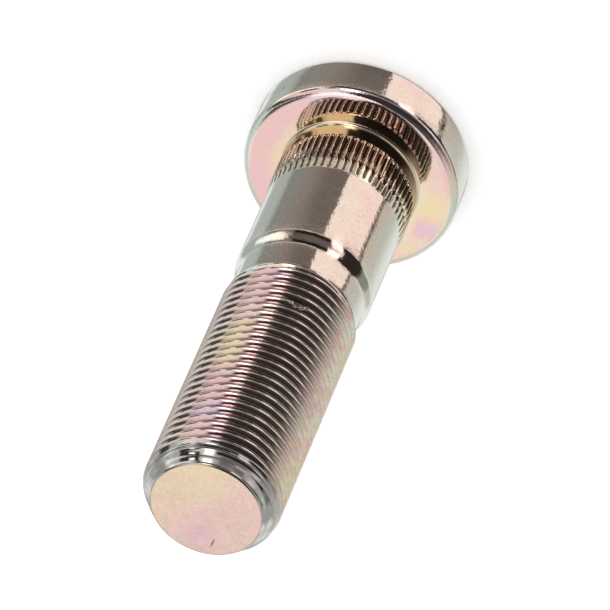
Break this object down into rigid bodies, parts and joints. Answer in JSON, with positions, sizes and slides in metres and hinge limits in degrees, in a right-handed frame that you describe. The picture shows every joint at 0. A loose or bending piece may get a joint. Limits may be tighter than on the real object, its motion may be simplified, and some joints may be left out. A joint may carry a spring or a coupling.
{
  "type": "wheel stud bolt",
  "caption": "Press-in wheel stud with a round flat head, a knurled collar, a plain shank and a long fine metric thread.",
  "frame": {"origin": "centre of the head's outer face, on which the stud stands", "axes": "+Z along the stud's axis, from the head to the thread's end"},
  "size_m": [0.029, 0.029, 0.075],
  "materials": {
    "passivated_steel": "smooth forged and rolled steel, zinc plated with a yellow passivate that shifts to pink and green"
  },
  "bodies": {
    "root": {"stud": "passivated_steel"}
  },
  "joints": []
}
